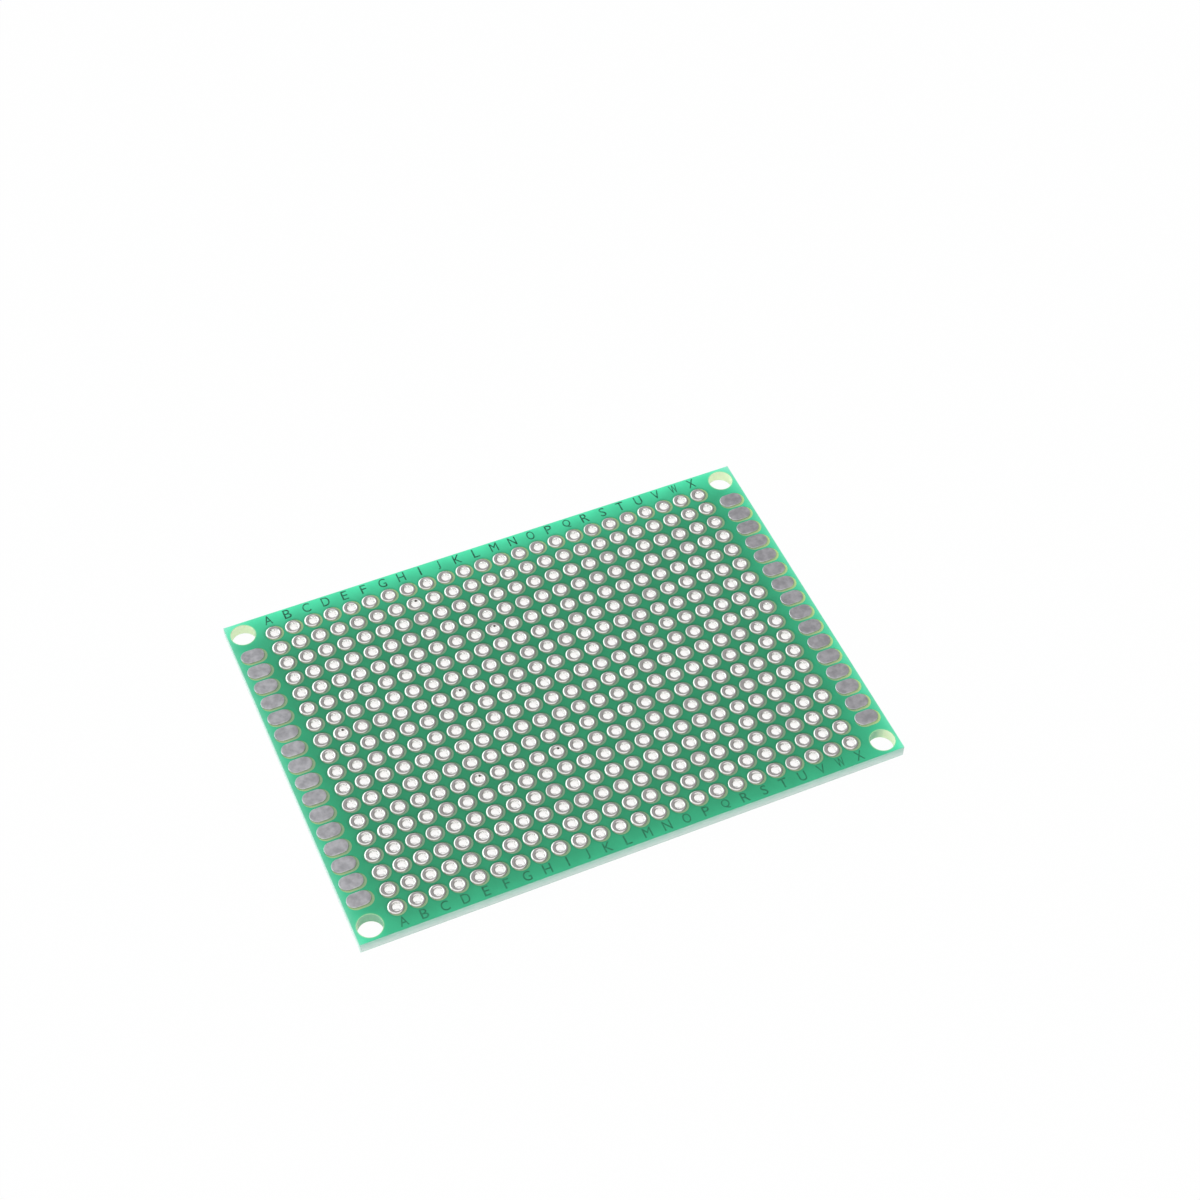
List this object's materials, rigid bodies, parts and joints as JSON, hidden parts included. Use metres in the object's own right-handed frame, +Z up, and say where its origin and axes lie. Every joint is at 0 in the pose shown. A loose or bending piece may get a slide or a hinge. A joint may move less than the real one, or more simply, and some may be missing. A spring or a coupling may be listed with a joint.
{
  "type": "prototype board",
  "caption": "Double-sided green prototype board with a square grid of plated lead holes, solder pads along both short sides and a mounting hole in each corner.",
  "frame": {"origin": "centre of the board's footprint, on the plane of the lower pads that it lies on", "axes": "+X along the long side, from column A towards column X; +Y across the board, away from the side that the letters face; +Z up through the top face"},
  "size_m": [0.0698, 0.0494, 0.0018],
  "materials": {
    "laminate": "bare glass-epoxy, pale yellow-green and slightly translucent, with fine glass threads in the cut edges",
    "solder_mask": "thin green solder mask, satin to glossy, brighter towards the edges where light comes through the laminate",
    "edge_pad_tin": "flat tinned pads, grey and lightly mottled with fine scratches",
    "ring_tin": "bright tinned rings, rounded by the levelled tin, with small differences from hole to hole"
  },
  "bodies": {
    "root": {"laminate": "laminate", "solder_mask_top": "solder_mask", "solder_mask_underside": "solder_mask", "edge_pads_left_top": "edge_pad_tin", "edge_pads_right_top": "edge_pad_tin", "edge_pads_left_underside": "edge_pad_tin", "edge_pads_right_underside": "edge_pad_tin", "plated_holes_a": "ring_tin", "plated_holes_b": "ring_tin", "plated_holes_c": "ring_tin", "plated_holes_d": "ring_tin", "plated_holes_e": "ring_tin", "plated_holes_f": "ring_tin", "plated_holes_g": "ring_tin", "plated_holes_h": "ring_tin", "plated_holes_i": "ring_tin", "plated_holes_j": "ring_tin", "plated_holes_k": "ring_tin", "plated_holes_l": "ring_tin", "plated_holes_m": "ring_tin", "plated_holes_n": "ring_tin", "plated_holes_o": "ring_tin", "plated_holes_p": "ring_tin", "plated_holes_q": "ring_tin", "plated_holes_r": "ring_tin", "plated_holes_s": "ring_tin", "plated_holes_t": "ring_tin", "plated_holes_u": "ring_tin", "plated_holes_v": "ring_tin", "plated_holes_w": "ring_tin", "plated_holes_x": "ring_tin"}
  },
  "joints": []
}
